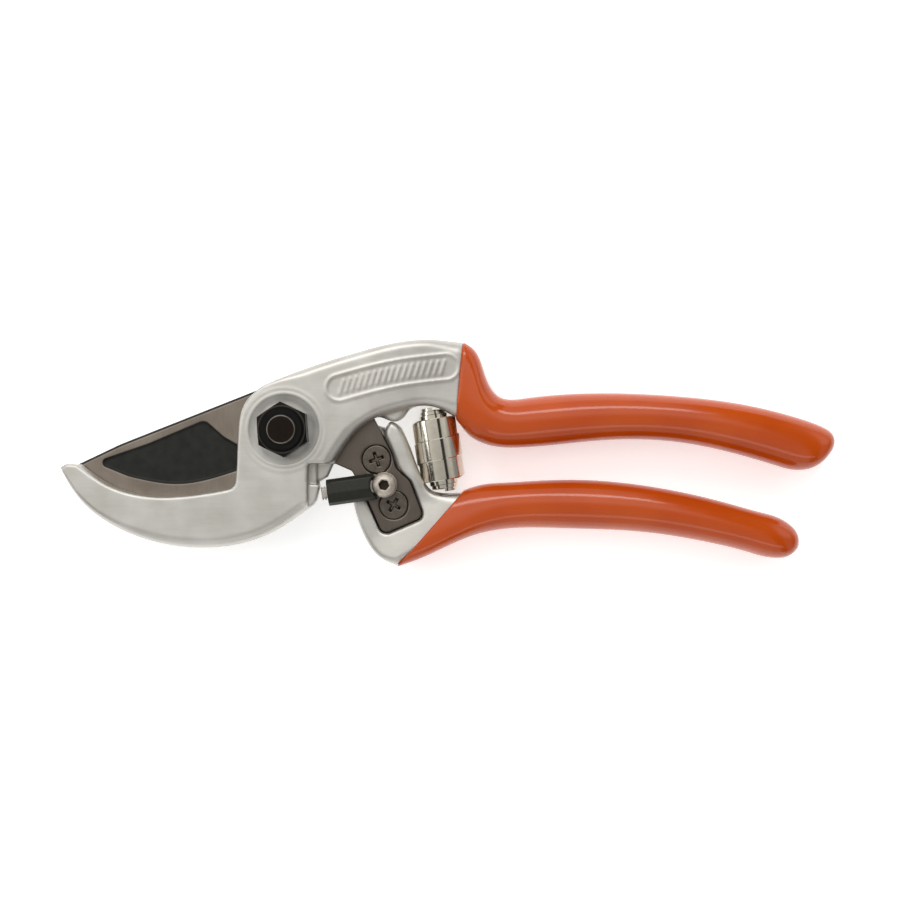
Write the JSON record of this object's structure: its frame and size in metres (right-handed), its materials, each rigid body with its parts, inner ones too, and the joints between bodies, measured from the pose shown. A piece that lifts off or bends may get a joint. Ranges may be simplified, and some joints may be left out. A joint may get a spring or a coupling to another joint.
{
  "type": "bypass pruner",
  "caption": "Bypass pruner with a hooked counter blade on one forged handle, a screwed-on cutting blade on the other, a strut catch, a volute spring and dipped grips.",
  "frame": {"origin": "on the pivot axis, at the rear face of the pivot bolt's head, the face that the closed tool rests on", "axes": "+X from the pivot to the ends of the grips, +Y towards the upper grip, +Z along the pivot bolt towards the nut"},
  "size_m": [0.211, 0.0626, 0.024],
  "materials": {
    "forged_aluminium": "satin, tumbled forging",
    "dipped_coating": "glossy orange dipped PVC",
    "blade_steel": "satin ground tool steel with a black coated hollow",
    "dark_screw": "dark oxide, satin",
    "black_oxide": "black oxide, satin",
    "lock_ring_plastic": "black nylon",
    "bush_steel": "ground",
    "washer_bronze": "plain bronze strip",
    "zinc_steel": "zinc plated, satin",
    "sleeve_plastic": "black moulded, satin",
    "nickel_steel": "bright nickel plated strip"
  },
  "bodies": {
    "root": {"upper_handle": "forged_aluminium", "upper_grip": "dipped_coating", "pivot_bolt": "black_oxide", "pivot_nut": "black_oxide", "pivot_lock_ring": "lock_ring_plastic", "rear_washer": "bush_steel", "friction_washer": "washer_bronze", "volute_spring": "nickel_steel"},
    "lower": {"lower_handle": "forged_aluminium", "lower_grip": "dipped_coating", "cutting_blade": "blade_steel", "blade_screw_upper": "dark_screw", "blade_screw_lower": "dark_screw", "pivot_bush": "bush_steel", "catch_screw": "zinc_steel", "catch_spacer": "zinc_steel", "catch_washer": "zinc_steel"},
    "catch": {"catch_lever": "zinc_steel", "catch_sleeve": "sleeve_plastic"}
  },
  "joints": [
    {"name": "main_pivot", "type": "hinge", "parent": "root", "child": "lower", "pos_m": [0, 0, 0.008], "axis": [0, 0, -1], "range_deg": [0, 26], "deforming": ["volute_spring"]},
    {"name": "catch_swing", "type": "hinge", "parent": "lower", "child": "catch", "pos_m": [0.02705, -0.015, 0.014], "axis": [0, 0, 1], "range_deg": [0, 65]}
  ],
  "couplings": [
    {"joint": "catch_swing", "follows": "main_pivot", "ratio": 2.5}
  ]
}
